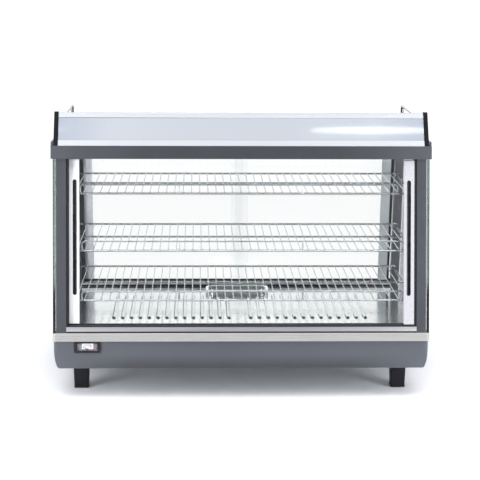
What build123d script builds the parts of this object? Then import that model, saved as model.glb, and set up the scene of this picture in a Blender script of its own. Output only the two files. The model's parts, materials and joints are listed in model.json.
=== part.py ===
from build123d import *
import os
import math

os.makedirs("parts", exist_ok=True)

# Heated display counter: trapezoid glass case with sliding doors front and rear,
# louvred floor, three wire shelves, lit canopy and a painted base on four feet.
# Working frame while modelling: X to the right seen from the front, Y from the
# front glass plane towards the rear, Z up, floor at Z 0. Everything is shifted
# by Y_CENTRE on export so that the origin is the bottom centre of the outer box.

# ------------------------------------------------------------------ driving dimensions (mm)
W_FRAME = 900.0          # over the painted top frame
DEPTH = 560.0            # front to rear glass plane at the foot of the glass
SLOPE = 9.0              # lean of front and rear glass from the vertical, degrees
Z_BAND0, Z_BAND1 = 145.0, 165.0      # bright band round the base
Z_FLOOR = 166.0          # top face of the louvred floor
Z_BEZEL0, Z_BEZEL1 = 571.0, 601.5    # painted top frame
Z_DECK = 603.0           # top face of the deck
Z_TOP = 676.0            # top of the canopy
BAND_PROUD = 4.0
X_BAND = 446.0
X_TUB = 444.5            # half width of the base
Z_TUB0 = 75.0            # underside of the base
Z_CURVE = 128.0          # where the base starts to curve under
R_CURVE = 160.0          # long curve of the base skin
R_FOLD = 10.0            # tight curve where the skin turns under
R_CORNER = 10.0          # upright corners of the base
SHEET = 1.5              # painted sheet thickness
PANEL_EDGE = 22.0        # how far the base front and side panels reach round underneath
X_GLASS_OUT = 445.3      # outer face of the side glass
T_SIDE = 6.0
X_POST0 = {("front", "left"): 414.0, ("front", "right"): 415.5, ("rear", "left"): 414.0, ("rear", "right"): 417.0}
X_POST1 = 437.6
N_POST = -30.0           # depth of a post behind the glass plane
STILE_X = {("front", "left"): (384.7, 407.9), ("front", "right"): (385.5, 409.5), ("rear", "left"): (381.5, 404.0), ("rear", "right"): (382.0, 405.0)}
PULL_X = {("front", "left"): (389.8, 399.5), ("front", "right"): (391.5, 401.5), ("rear", "left"): (387.5, 397.2), ("rear", "right"): (388.0, 397.7)}
X_DOOR_LAP = 15.0        # each pane passes the centre line by this much
PANE_INSET = 1.0         # pane edge stops this far short of the finger pull
N_OUT = (-2.0, -14.0)    # outer door, stile thickness
N_IN = (-16.0, -28.0)    # inner door
T_PANE = 4.0
Z_PANE0, Z_PANE1 = 174.5, 588.0
Z_STILE0, Z_STILE1 = 183.6, 567.0
PULL_Z0, PULL_Z1 = 250.2, 521.0
PULL_DEPTH = 7.0
SHELVES = {              # name: (z, y front, y rear)
    "top": (482.0, 106.0, 456.0),
    "middle": (346.0, 90.0, 469.0),
    "bottom": (229.0, 70.0, 489.0),
}
WIRE_PITCH = 19.8
WIRE_R = 1.25
WIRE_SHIFT = {"top": 0.0, "middle": 3.7, "bottom": 2.3}
ROD_R = 2.5
X_ROD = 423.0
GUARD_R = 2.0
GUARD = {"top": (-4.0, 380.0, 22.0), "middle": (4.8, 385.4, 23.5), "bottom": (4.8, 385.4, 22.0)}   # centre, half width, height
X_RAIL = 420.0           # side rails that carry the shelves
RAIL_R = 3.0
LOUVRE_PITCH = 21.7
LOUVRE_Y = (152.0, 400.0)
Y_FLOOR_SEAM = 404.0     # joint between the louvred sheet and the sheet round the pan
PAN_Y = (412.0, 484.0)
PAN_X = 82.0
PAN_R = 24.0
FOOT_X, FOOT_Y = 388.0, (129.0, 431.0)
KNOB_Y1 = 580.0          # rearmost point
Y_CENTRE = (KNOB_Y1 - BAND_PROUD) / 2.0

A = math.radians(SLOPE)
TAN, COS, SIN = math.tan(A), math.cos(A), math.sin(A)


def yl(z, n, rear=False):
    """Y of the line lying n mm outside the sloping glass plane, at height z."""
    y = (z - Z_BAND1) * TAN - n / COS
    return DEPTH - y if rear else y


def prism(pts, x0, x1):
    """Polygon of (y, z) points run from x0 to x1."""
    face = make_face(Polyline(*[(x0, y, z) for y, z in pts], close=True))
    return extrude(face, amount=x1 - x0, dir=(1, 0, 0))


def box(x0, x1, y0, y1, z0, z1):
    return Pos((x0 + x1) / 2, (y0 + y1) / 2, (z0 + z1) / 2) * Box(x1 - x0, y1 - y0, z1 - z0)


def sloped(x0, x1, n0, n1, z0, z1, rear=False):
    """Bar that follows the sloping glass plane between two heights."""
    pts = [(yl(z0, n0, rear), z0), (yl(z1, n0, rear), z1), (yl(z1, n1, rear), z1), (yl(z0, n1, rear), z0)]
    return prism(pts, x0, x1)


def rod(p, q, r):
    d = Vector(*q) - Vector(*p)
    return extrude(Plane(origin=p, z_dir=d) * Circle(r), amount=d.length)


def cyl_y(x, y0, y1, z, r):
    return rod((x, y0, z), (x, y1, z), r)


def cyl_z(x, y, z0, z1, r):
    return rod((x, y, z0), (x, y, z1), r)


written = {}


def put(name, *solids):
    """Write one node; each solid stays separate."""
    parts = []
    for s in solids:
        parts += list(s.solids())
    shape = parts[0] if len(parts) == 1 else Compound(children=parts)
    shape = shape.moved(Location((0, -Y_CENTRE, 0)))
    shape.label = name
    export_step(shape, f"parts/{name}.step")
    written[name] = shape


# ------------------------------------------------------------------ base
TURN = math.asin((Z_CURVE - R_FOLD - Z_TUB0) / (R_CURVE - R_FOLD))   # where the two curves meet


def skin(t, z1):
    """Half outline of the base as (distance in from its side, height) points, t mm inside the skin."""
    big, small = R_CURVE - t, R_FOLD - t
    ci, cz = R_CURVE - (R_CURVE - R_FOLD) * math.cos(TURN), Z_TUB0 + R_FOLD

    def on_big(a):
        return (R_CURVE - big * math.cos(a), Z_CURVE - big * math.sin(a))

    def on_small(a):
        return (ci - small * math.cos(a), cz - small * math.sin(a))
    return (t, z1), on_big(0.0), on_big(TURN / 2), on_big(TURN), on_small((TURN + math.pi / 2) / 2), on_small(math.pi / 2)


def base_body(t, z1):
    """Solid inside the base skin: front outline run across, side outline run from front to rear."""
    p = skin(t, z1)
    xw, zb = 500.0, p[5][1]
    f = [(0, u, z) for u, z in p]
    edges = [Line(f[0], f[1]), ThreePointArc(f[1], f[2], f[3]), ThreePointArc(f[3], f[4], f[5]),
             Line(f[5], (0, DEPTH - t, zb)), Line((0, DEPTH - t, zb), (0, DEPTH - t, z1)), Line((0, DEPTH - t, z1), f[0])]
    across = extrude(make_face(Curve() + edges), amount=xw, dir=(1, 0, 0), both=True)
    a = [(-X_TUB + u, -20.0, z) for u, z in p]
    b = [(X_TUB - u, -20.0, z) for u, z in p]
    edges = [Line(a[0], a[1]), ThreePointArc(a[1], a[2], a[3]), ThreePointArc(a[3], a[4], a[5]), Line(a[5], b[5]),
             ThreePointArc(b[5], b[4], b[3]), ThreePointArc(b[3], b[2], b[1]), Line(b[1], b[0]), Line(b[0], a[0])]
    along = extrude(make_face(Curve() + edges), amount=DEPTH + 60.0, dir=(0, 1, 0))
    return across & along & plan_block(t, R_CORNER - t, Z_TUB0 - 5, z1 + 5)


def plan_block(t, r, z0, z1, y0=0.0, y1=DEPTH, xo=X_TUB):
    rect = RectangleRounded(2 * (xo - t), (y1 - y0) - 2 * t, r)
    return extrude(Pos(0, (y0 + y1) / 2, z0) * rect, amount=z1 - z0)


outer = base_body(0.0, Z_BAND0)
inner = base_body(SHEET, Z_BAND0 + 2)
COVER_X, COVER_Y0, COVER_Y1 = 405.0, 45.0, 530.0
tub = outer - inner
tub -= box(-COVER_X + 8, COVER_X - 8, COVER_Y0 + 12, COVER_Y1 - 12, Z_TUB0 - 5, Z_TUB0 + 5)
# holes in the front for the thermometer
TH_X0, TH_X1, TH_Z0, TH_Z1 = -396.0, -334.0, 117.2, 144.8
tub -= box(TH_X0 + 6, TH_X1 - 6, -2, 5, TH_Z0 + 3.5, TH_Z1 - 3.5)
# holes in the rear for the controls and the cable gland
KNOB_X, KNOB_Z = -330.0, 108.0
SW_X = {"heat": -262.0, "light": -212.0}
SW_Z = 108.0
SW_W, SW_H = 20.0, 27.0
tub -= cyl_y(KNOB_X, DEPTH - 6, DEPTH + 3, KNOB_Z, 5.5)
for sx in SW_X.values():
    tub -= box(sx - SW_W / 2, sx + SW_W / 2, DEPTH - 6, DEPTH + 3, SW_Z - SW_H / 2, SW_Z + SW_H / 2)
GLAND_X, GLAND_Z = 300.0, 105.0
tub -= cyl_y(GLAND_X, DEPTH - 6, DEPTH + 3, GLAND_Z, 8.2)
# vent slots in the rear
for k in range(8):
    x = -40.0 + 24.0 * k
    tub -= box(x - 2.0, x + 2.0, DEPTH - 6, DEPTH + 3, 96.0, 124.0)
# the skin is made of a front panel, two side panels, a rear panel and a bottom pan that meet edge to edge
YF, YR, XS = PANEL_EDGE, DEPTH - 15.0, X_TUB - PANEL_EDGE
put("base_front_panel", tub & box(-460, 460, -10, YF, 60, 160))
put("base_rear_panel", tub & box(-460, 460, YR, DEPTH + 10, 60, 160))
put("base_side_panels", *[tub & box(*sorted((sx * XS, sx * 460)), YF, YR, 60, 160) for sx in (-1, 1)])
put("base_bottom_pan", tub & box(-XS, XS, YF, YR, 60, 160))

# service cover under the base, with holes for the foot screws
cover = extrude(Pos(0, (COVER_Y0 + COVER_Y1) / 2, Z_TUB0 - SHEET) * RectangleRounded(2 * COVER_X, COVER_Y1 - COVER_Y0, 12), amount=SHEET)
for sx in (-1, 1):
    for fy in FOOT_Y:
        cover -= cyl_z(sx * FOOT_X, fy, Z_TUB0 - 3, Z_TUB0 + 2, 4.2)
put("bottom_cover", cover)

# bright band: outer wall with a top shelf and a bottom lip
band = plan_block(0.0, 6.0, Z_BAND0, Z_BAND1, -BAND_PROUD, DEPTH + BAND_PROUD, X_BAND)
band = chamfer(band.faces().sort_by(Axis.Z)[-1].outer_wire().edges(), 0.8)
band -= plan_block(SHEET, 4.5, Z_BAND0 + SHEET, Z_BAND1 - SHEET, -BAND_PROUD, DEPTH + BAND_PROUD, X_BAND)
band -= box(-412, 412, 34, DEPTH - 34, Z_BAND1 - 5, Z_BAND1 + 5)
band -= box(-425, 425, 18, DEPTH - 18, Z_BAND0 - 5, Z_BAND0 + 5)
# four lengths: front and rear over the whole width, one along each side between them
put("trim_band", band & box(-460, 460, -10, 34, 140, 170), band & box(-460, 460, DEPTH - 34, DEPTH + 10, 140, 170),
    band & box(-460, 0, 34, DEPTH - 34, 140, 170), band & box(0, 460, 34, DEPTH - 34, 140, 170))

# ------------------------------------------------------------------ louvred floor
FY0, FY1 = 34.0, DEPTH - 34.0
floor = box(-437, 437, FY0, FY1, Z_BAND1, Z_FLOOR)
PAN_CUT = (PAN_X - 8.5, PAN_Y[0] + 9.0, PAN_Y[1] - 9.0)
louvre_x = [s * (27.0 + LOUVRE_PITCH * k) for k in range(14) for s in (-1, 1)]
hoods = []
for x in louvre_x:
    floor -= box(x - 2.6, x + 2.6, LOUVRE_Y[0] + 12, LOUVRE_Y[1] - 12, Z_BAND1 - 1, Z_FLOOR + 1)
    ring = Circle(4.0) - Circle(3.0)
    half = (Plane(origin=(x, LOUVRE_Y[0], Z_FLOOR), x_dir=(1, 0, 0), z_dir=(0, -1, 0)) * ring)
    h = extrude(half, amount=-(LOUVRE_Y[1] - LOUVRE_Y[0]))
    h &= box(x - 6, x + 6, LOUVRE_Y[0] - 1, LOUVRE_Y[1] + 1, Z_FLOOR - 0.3, Z_FLOOR + 6)
    hoods.append(h)
floor = floor + hoods
floor -= box(-PAN_CUT[0], PAN_CUT[0], PAN_CUT[1], PAN_CUT[2], Z_BAND1 - 1, Z_FLOOR + 8)
put("floor_louvre_plate", floor & box(-450, 450, FY0 - 5, Y_FLOOR_SEAM, Z_BAND1 - 5, Z_FLOOR + 20))
put("floor_pan_plate", floor & box(-450, 450, Y_FLOOR_SEAM, FY1 + 5, Z_BAND1 - 5, Z_FLOOR + 20))

# water pan: rolled rim, upper wall with a bead round it and a shoulder that rests on the floor
Z_RIM = 178.0
Z_BEAD = 169.2
ph = (PAN_Y[1] - PAN_Y[0]) / 2
pc = (PAN_Y[0] + PAN_Y[1]) / 2


def pan_block(hx, hy, r, z0, z1):
    return extrude(Pos(0, pc, z0) * RectangleRounded(2 * hx, 2 * hy, r), amount=z1 - z0)


pan = pan_block(PAN_X, ph, PAN_R, Z_RIM - 1.2, Z_RIM)
pan += pan_block(PAN_X, ph, PAN_R, Z_BEAD, Z_BEAD + 1.2)
pan += pan_block(PAN_X - 5.5, ph - 5.5, PAN_R - 5.5, Z_FLOOR + 0.3, Z_RIM)
pan += pan_block(PAN_X - 10.0, ph - 10.0, PAN_R - 10.0, 142.0, Z_FLOOR + 0.6)
pan -= pan_block(PAN_X - 6.5, ph - 6.5, PAN_R - 6.5, Z_FLOOR + 1.3, Z_RIM + 2)
pan -= pan_block(PAN_X - 11.0, ph - 11.0, PAN_R - 11.0, 143.0, Z_RIM + 2)
put("water_pan", pan)

# ------------------------------------------------------------------ heating and wiring pieces in the base
def element(sign):
    z = 112.0
    xs = [s * sign for s in (28.0, 28.0, 110.0, 110.0, 210.0, 210.0, 306.0, 306.0)]
    ys = [470.0, 170.0, 170.0, 380.0, 380.0, 170.0, 170.0, 470.0]
    path = FilletPolyline(*[(x, y, z) for x, y in zip(xs, ys)], radius=32)
    start = path @ 0
    tube = sweep(Plane(origin=start, z_dir=path % 0) * Circle(4.2), path=path)
    for x, y in ((28.0, 300.0), (306.0, 300.0)):
        tube += box(sign * x - 7, sign * x + 7, y - 1.0, y + 1.0, Z_TUB0, z + 2.0)
        tube += box(sign * x - 7, sign * x + 7, y - 9.0, y + 1.0, Z_TUB0, Z_TUB0 + 1.5)
    return tube


put("heating_elements", element(-1), element(1))
tb = box(-60, 60, 505, 527, Z_TUB0 + SHEET, Z_TUB0 + 20)
for k in range(6):
    tb -= cyl_z(-50 + 20 * k, 516, Z_TUB0 + 8, Z_TUB0 + 25, 3.2)
put("terminal_block", tb)

stat = box(KNOB_X - 22, KNOB_X + 22, 512, DEPTH - 6, KNOB_Z - 18, KNOB_Z + 18)
stat += cyl_y(KNOB_X, DEPTH - 6.5, DEPTH - SHEET, KNOB_Z, 5.4)
stat -= cyl_y(KNOB_X, 530, DEPTH + 5, KNOB_Z, 3.05)
capillary = FilletPolyline((KNOB_X, 513.0, KNOB_Z), (KNOB_X, 470.0, KNOB_Z), (KNOB_X, 470.0, 150.0), (-250.0, 470.0, 150.0), (-250.0, 420.0, 150.0), radius=12)
stat += sweep(Plane(origin=capillary @ 0, z_dir=capillary % 0) * Circle(1.2), path=capillary)
stat += cyl_y(-250.0, 340.0, 421.0, 150.0, 3.2)
put("thermostat", stat)

# ------------------------------------------------------------------ rear controls
plate = box(-370, -180, DEPTH, DEPTH + 2.0, 80.0, 138.0)
plate = fillet(plate.edges().filter_by(Axis.Y), 6)
plate -= cyl_y(KNOB_X, DEPTH - 2, DEPTH + 5, KNOB_Z, 5.5)
for sx in SW_X.values():
    plate -= box(sx - SW_W / 2, sx + SW_W / 2, DEPTH - 2, DEPTH + 5, SW_Z - SW_H / 2, SW_Z + SW_H / 2)
put("control_plate", plate)

# knob with a skirt, grip ribs and its spindle in the thermostat bush
knob = cyl_y(KNOB_X, DEPTH + 2.5, DEPTH + 6.0, KNOB_Z, 19.5)
grip = cyl_y(KNOB_X, DEPTH + 6.0, KNOB_Y1, KNOB_Z, 15.5)
for k in range(18):
    an = math.radians(20 * k)
    grip -= cyl_y(KNOB_X + 16.4 * math.cos(an), DEPTH + 5.9, KNOB_Y1 + 1, KNOB_Z + 16.4 * math.sin(an), 1.9)
knob += grip
knob = knob + cyl_y(KNOB_X, 533, DEPTH + 3, KNOB_Z, 3.0)
put("thermostat_knob", knob)

bodies = []
for name, sx in SW_X.items():
    b = box(sx - SW_W / 2 + 0.2, sx + SW_W / 2 - 0.2, DEPTH - 24, DEPTH + 2.0, SW_Z - SW_H / 2 + 0.2, SW_Z + SW_H / 2 - 0.2)
    b += box(sx - 12.5, sx + 12.5, DEPTH + 2.0, DEPTH + 4.0, SW_Z - 16, SW_Z + 16)
    b -= box(sx - SW_W / 2 + 1.8, sx + SW_W / 2 - 1.8, DEPTH - 14, DEPTH + 6, SW_Z - SW_H / 2 + 1.8, SW_Z + SW_H / 2 - 1.8)
    for k in (-1, 1):
        b += box(sx - 3, sx + 3, DEPTH - 32, DEPTH - 23.5, SW_Z + 7 * k - 0.4, SW_Z + 7 * k + 0.4)
    # pivot pin across the well
    b += rod((sx - SW_W / 2 + 1, DEPTH - 3.0, SW_Z), (sx + SW_W / 2 - 1, DEPTH - 3.0, SW_Z), 1.2)
    bodies.append(b)
    # rocker, lying in its OFF position
    yp = DEPTH - 3.0
    pts = [(yp - 4.5, -4.5), (yp - 4.5, 4.5), (yp + 3.5, 10.0), (yp + 8.2, 10.0), (yp + 6.6, 0.0), (yp + 8.2, -10.0), (yp + 3.5, -10.0)]
    r = prism([(y, SW_Z + z) for y, z in pts], sx - 7.6, sx + 7.6)
    r = r.rotate(Axis((sx, yp, SW_Z), (1, 0, 0)), -9.0)
    r -= rod((sx - 9, yp, SW_Z), (sx + 9, yp, SW_Z), 1.26)
    put(f"{name}_switch_rocker", r)
put("switch_bodies", *bodies)

# cable gland: flange, threaded body through the wall and a lock nut inside
hexo = Plane(origin=(GLAND_X, DEPTH + 3.0, GLAND_Z), x_dir=(1, 0, 0), z_dir=(0, 1, 0)) * RegularPolygon(11.5, 6)
gl = extrude(hexo, amount=6.0)
gl += cyl_y(GLAND_X, DEPTH, DEPTH + 3.1, GLAND_Z, 12.5)
gl += cyl_y(GLAND_X, DEPTH - 12, DEPTH + 0.5, GLAND_Z, 8.0)
gl += cyl_y(GLAND_X, DEPTH + 8.5, DEPTH + 15, GLAND_Z, 8.5)
hexn = Plane(origin=(GLAND_X, DEPTH - 6.0, GLAND_Z), x_dir=(1, 0, 0), z_dir=(0, 1, 0)) * RegularPolygon(12.0, 6)
gl += extrude(hexn, amount=4.4)
gl -= cyl_y(GLAND_X, DEPTH - 14, DEPTH + 17, GLAND_Z, 4.2)
put("cable_gland", gl)

# ------------------------------------------------------------------ thermometer in the front of the base
tcx, tcz = (TH_X0 + TH_X1) / 2, (TH_Z0 + TH_Z1) / 2
case = box(TH_X0, TH_X1, -3.0, 0.0, TH_Z0, TH_Z1)
case = fillet(case.edges().filter_by(Axis.Y), 2.2)
case += box(TH_X0 + 6.2, TH_X1 - 6.2, -0.5, 22.0, TH_Z0 + 3.7, TH_Z1 - 3.7)
case -= box(TH_X0 + 4.8, TH_X1 - 4.8, -4.0, -1.6, TH_Z0 + 4.6, TH_Z1 - 4.6)
case -= box(TH_X0 + 7.4, TH_X1 - 7.4, -4.0, 20.0, TH_Z0 + 4.9, TH_Z1 - 4.9)
put("thermometer_case", case)
dial = box(TH_X0 + 7.4, TH_X1 - 7.4, 1.6, 2.6, TH_Z0 + 4.9, TH_Z1 - 4.9)
PIV_Z = TH_Z0 + 8.0
dial -= cyl_y(tcx, 0, 5, PIV_Z, 0.86)
put("thermometer_dial", dial)
window = box(TH_X0 + 4.8, TH_X1 - 4.8, -2.8, -1.6, TH_Z0 + 4.6, TH_Z1 - 4.6)
put("thermometer_window", window)
needle = prism([(0.3, PIV_Z - 0.7), (0.9, PIV_Z - 0.7), (0.9, PIV_Z + 0.7), (0.3, PIV_Z + 0.7)], tcx - 2.6, tcx + 12.5)
needle += cyl_y(tcx, 0.3, 1.2, PIV_Z, 2.2)
needle += cyl_y(tcx, 0.3, 7.0, PIV_Z, 0.8)
needle = needle.rotate(Axis((tcx, 0, PIV_Z), (0, 1, 0)), -150.0)
put("thermometer_pointer", needle)

# ------------------------------------------------------------------ feet
feet, screws = [], []
for sx in (-1, 1):
    for fy in FOOT_Y:
        lo = Plane.XY.offset(0) * RectangleRounded(34.0, 34.0, 4.0)
        hi = Plane.XY.offset(Z_TUB0 - SHEET) * RectangleRounded(39.0, 39.0, 4.0)
        f = loft([lo.face(), hi.face()])
        f = Pos(sx * FOOT_X, fy, 0) * f
        f -= cyl_z(sx * FOOT_X, fy, 30, 90, 4.0)
        feet.append(f)
        s = cyl_z(sx * FOOT_X, fy, 36, Z_TUB0, 4.0)
        s += cyl_z(sx * FOOT_X, fy, Z_TUB0, Z_TUB0 + 5.3, 7.0)
        screws.append(s)
put("feet", *feet)
put("foot_screws", *screws)

# ------------------------------------------------------------------ glass case
for fr, rear in (("front", False), ("rear", True)):
    for side, sx in (("left", -1), ("right", 1)):
        xp = X_POST0[fr, side]
        a, b = sorted((sx * xp, sx * X_POST1))
        p = sloped(a, b, 0.0, N_POST, Z_BAND1, 600.0, rear)
        # hollow aluminium-like box section
        a2, b2 = sorted((sx * (xp + 2), sx * (X_POST1 - 2)))
        p -= sloped(a2, b2, -2.0, N_POST + 2.0, Z_BAND1 - 5, 610.0, rear)
        put(f"{fr}_{side}_post", p)

panels = []
for side, sx in (("left", -1), ("right", 1)):
    a, b = sorted((sx * X_GLASS_OUT, sx * (X_GLASS_OUT - T_SIDE)))
    pts = [(yl(Z_BAND1, 0), Z_BAND1), (yl(596, 0), 596), (yl(596, 0, True), 596), (yl(Z_BAND1, 0, True), Z_BAND1)]
    g = prism(pts, a, b)
    panels.append(chamfer(g.edges().filter_by(Axis.X, reverse=True), 0.6))
put("side_glasses", *panels)

liners, seals, lower, upper = [], [], [], []
for fr, rear in (("front", False), ("rear", True)):
    L = (-X_POST0[fr, "left"], X_POST0[fr, "right"])
    t = sloped(*L, -6.0, N_POST, Z_BAND1, 168.0, rear)
    t += sloped(*L, 0.0, N_POST, 168.0, 169.5, rear)
    t += sloped(*L, 0.0, -1.5, 169.5, 178.3, rear)
    t += sloped(*L, -14.0, -16.0, 169.5, 176.0, rear)
    t += sloped(*L, N_POST + 1.5, N_POST, 169.5, 178.3, rear)
    lower.append(t)
    g = sloped(*L, -1.5, -13.9, 169.5, 171.5, rear)
    g += sloped(*L, -1.5, -5.2, 171.5, 182.2, rear)
    g += sloped(*L, -10.8, -13.9, 171.5, 176.0, rear)
    g2 = sloped(*L, -16.1, N_POST + 1.5, 169.5, 171.5, rear)
    g2 += sloped(*L, -16.1, -19.2, 171.5, 176.0, rear)
    g2 += sloped(*L, -24.8, N_POST + 1.5, 171.5, 181.0, rear)
    liners += [g, g2]
    t = sloped(*L, -0.5, N_POST, 597.0, 600.0, rear)
    t += sloped(*L, -0.5, -2.0, 575.0, 597.5, rear)
    t += sloped(*L, -14.0, -16.0, 575.0, 597.5, rear)
    t += sloped(*L, N_POST + 1.5, N_POST, 575.0, 597.5, rear)
    t += sloped(*L, -2.0, -4.8, 575.0, 577.0, rear)
    t += sloped(*L, -11.2, -18.8, 575.0, 577.0, rear)
    t += sloped(*L, -25.2, N_POST + 1.5, 575.0, 577.0, rear)
    upper.append(t)
    for side, sx in (("left", -1), ("right", 1)):
        a, b = sorted((sx * (STILE_X[fr, side][1] + 0.6), sx * X_POST0[fr, side]))
        seal = sloped(a, b, -2.0, -28.0, 184.6, 574.6, rear)
        if (fr, side) == ("rear", "right"):
            # this strip narrows towards its foot and stands clear of the post
            seal -= extrude(make_face(Polyline((411.2, -50, 184.0), (413.9, -50, 575.0), (430, -50, 575.0), (430, -50, 184.0), close=True)), amount=800, dir=(0, 1, 0))
        seals.append(seal)
put("bottom_tracks", *lower)
put("top_tracks", *upper)
put("track_liners", *liners)
put("door_seals", *seals)

# ------------------------------------------------------------------ sliding doors
for fr, rear in (("front", False), ("rear", True)):
    for side, sx in (("left", -1), ("right", 1)):
        # the right front door and the left rear door run in the outer groove
        n0, n1 = (N_OUT if (side == "right") != rear else N_IN)
        nc = (n0 + n1) / 2
        px0, px1 = PULL_X[fr, side]
        a, b = sorted((sx * (px0 - PANE_INSET), -sx * X_DOOR_LAP))
        pane = sloped(a, b, nc + T_PANE / 2, nc - T_PANE / 2, Z_PANE0, Z_PANE1, rear)
        put(f"{fr}_{side}_door_glass", pane)
        a, b = sorted((sx * STILE_X[fr, side][0], sx * STILE_X[fr, side][1]))
        st = sloped(a, b, n0, n1, Z_STILE0, Z_STILE1, rear)
        st -= pane
        # finger pull: a long round-ended recess in the outer face
        zc = (PULL_Z0 + PULL_Z1) / 2
        xc = sx * (px0 + px1) / 2
        nrm = (0, COS if rear else -COS, SIN)
        pl = Plane(origin=(xc, yl(zc, n0, rear), zc), x_dir=(1, 0, 0), z_dir=nrm)
        slot = pl * Rot(0, 0, 90) * SlotOverall((PULL_Z1 - PULL_Z0) / COS, px1 - px0)
        st -= extrude(slot, amount=-PULL_DEPTH) + extrude(slot, amount=3)
        put(f"{fr}_{side}_door_stile", st)

# ------------------------------------------------------------------ top frame, deck and ceiling
fp = [(yl(Z_BEZEL0, 4), Z_BEZEL0), (yl(Z_BEZEL1, 4), Z_BEZEL1), (yl(Z_BEZEL1, 4, True), Z_BEZEL1), (yl(Z_BEZEL0, 4, True), Z_BEZEL0)]
fr_ = prism(fp, -W_FRAME / 2, W_FRAME / 2)
za, zb_ = Z_BEZEL0 + SHEET, Z_BEZEL1 - SHEET
ip = [(yl(za, 2.5), za), (yl(zb_, 2.5), zb_), (yl(zb_, 2.5, True), zb_), (yl(za, 2.5, True), za)]
fr_ -= prism(ip, -W_FRAME / 2 + SHEET, W_FRAME / 2 - SHEET)
za, zb_ = Z_BEZEL0 - 2, Z_BEZEL0 + 4
ip = [(yl(za, 0.4), za), (yl(zb_, 0.4), zb_), (yl(zb_, 0.4, True), zb_), (yl(za, 0.4, True), za)]
fr_ -= prism(ip, -445.8, 445.8)
fr_ -= box(-425, 425, 152, 470, Z_BEZEL1 - 5, Z_BEZEL1 + 5)
# four folded rails: front and rear over the whole width, one along each side between them
put("top_frame", fr_ & box(-460, 460, 20, 152, 560, 610), fr_ & box(-460, 460, 470, 600, 560, 610),
    fr_ & box(-460, 0, 152, 470, 560, 610), fr_ & box(0, 460, 152, 470, 560, 610))

# deck: a raised middle field with a lower margin that carries the guard rails
Z_MARGIN = Z_DECK - 0.8
deck = box(-443.4, 443.4, 146.0, 487.0, Z_BEZEL1, Z_MARGIN)
deck += box(-413.0, 413.0, 148.0, 485.0, Z_MARGIN - 0.2, Z_DECK)
put("top_deck", deck)

caps = []
for sx in (-1, 1):
    a, b = sorted((sx * 443.6, sx * 450.0))
    c = box(a, b, 71.0, 489.0, Z_BEZEL1, 612.0)
    c = fillet(c.faces().sort_by(Axis.Z)[-1].edges(), 3.0)
    caps.append(c)
put("top_side_caps", *caps)

# flat ceiling sheet with a spacer strip standing on its front and rear edges
put("inner_ceiling", box(-437.4, 437.4, 100.5, 459.5, 584.0, 585.0), box(-437.4, 437.4, 100.5, 101.5, 585.0, 600.0),
    box(-437.4, 437.4, 458.5, 459.5, 585.0, 600.0))
lamp = box(-380, 380, 150, 176, 577.0, 584.0)
lamp += fillet(box(-376, 376, 153, 173, 571.6, 577.5).edges().filter_by(Axis.X), 2.4)
put("cabinet_lamp", lamp)

# ------------------------------------------------------------------ lit canopy on the top frame
CY0, CZ0, CY1, CZ1 = 66.0, Z_BEZEL1, 106.5, 675.0
cl = math.hypot(CY1 - CY0, CZ1 - CZ0)
ct = ((CY1 - CY0) / cl, (CZ1 - CZ0) / cl)
cn = (-ct[1], ct[0])


def cf(z, n):
    """Point of the leaning canopy front at height z, n mm proud of it."""
    k = (z - CZ0) / ct[1]
    return (CY0 + k * ct[0] + n * cn[0], z + n * cn[1])


XC = 432.8
def canopy_strip(z0, z1, n0, n1):
    pts = [cf(z0, n0), cf(z1, n0), cf(z1, n1), cf(z0, n1)]
    return prism(pts, -XC, XC)


Z_STRIP = 613.7
st0 = [(CY0, Z_BEZEL1), cf(Z_STRIP, 0.0), cf(Z_STRIP, -7.0), (CY0 + 8.6, Z_BEZEL1)]
strip = prism(st0, -XC, XC)
put("canopy_bottom_strip", strip)
put("canopy_panel", canopy_strip(Z_STRIP, 664.0, -0.6, -3.6))
# folded back sheet: front lip, round crown, sloping back and foot flange
pA, pB = cf(664.0, 0.0), cf(672.0, 0.0)
crown = (110.0, Z_TOP)
pC = (116.0, 672.5)
pD = (138.0, Z_BEZEL1)
outer_e = [Line((0, *pA), (0, *pB)), ThreePointArc((0, *pB), (0, *crown), (0, *pC)), Line((0, *pC), (0, *pD)),
           Line((0, *pD), (0, 122.0, Z_BEZEL1)), Line((0, 122.0, Z_BEZEL1), (0, 122.0, Z_BEZEL1 + 1.5)),
           Line((0, 122.0, Z_BEZEL1 + 1.5), (0, 135.9, Z_BEZEL1 + 1.5)), Line((0, 135.9, Z_BEZEL1 + 1.5), (0, 114.6, 671.6)),
           ThreePointArc((0, 114.6, 671.6), (0, 110.0, Z_TOP - 1.6), (0, *cf(671.4, -1.6))),
           Line((0, *cf(671.4, -1.6)), (0, *cf(664.0, -1.6))), Line((0, *cf(664.0, -1.6)), (0, *pA))]
back = extrude(make_face(Curve() + outer_e), amount=XC, dir=(1, 0, 0), both=True)
put("canopy_back", back)
for side, sx in (("left", -1), ("right", 1)):
    a, b = sorted((sx * (XC + 0.2), sx * 443.4))
    pts = [(CY0 - 0.3, Z_BEZEL1), cf(677.0, 0.9), (118.5, 677.6), (140.5, Z_BEZEL1)]
    e = prism(pts, a, b)
    top_edges = e.edges().filter_by(Axis.X).sort_by(Axis.Z)[-2:]
    e = fillet(top_edges, 5.0)
    put(f"canopy_end_{side}", e)
cl_ = box(-410, 410, 92, 112, Z_BEZEL1, Z_BEZEL1 + 16)
for sx in (-1, 1):
    cl_ += box(sx * 404 - 5, sx * 404 + 5, 94, 110, Z_BEZEL1 + 15, Z_BEZEL1 + 42)
cl_ += rod((-404, 102, Z_BEZEL1 + 32), (404, 102, Z_BEZEL1 + 32), 8.0)
put("canopy_lamp", cl_)

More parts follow.
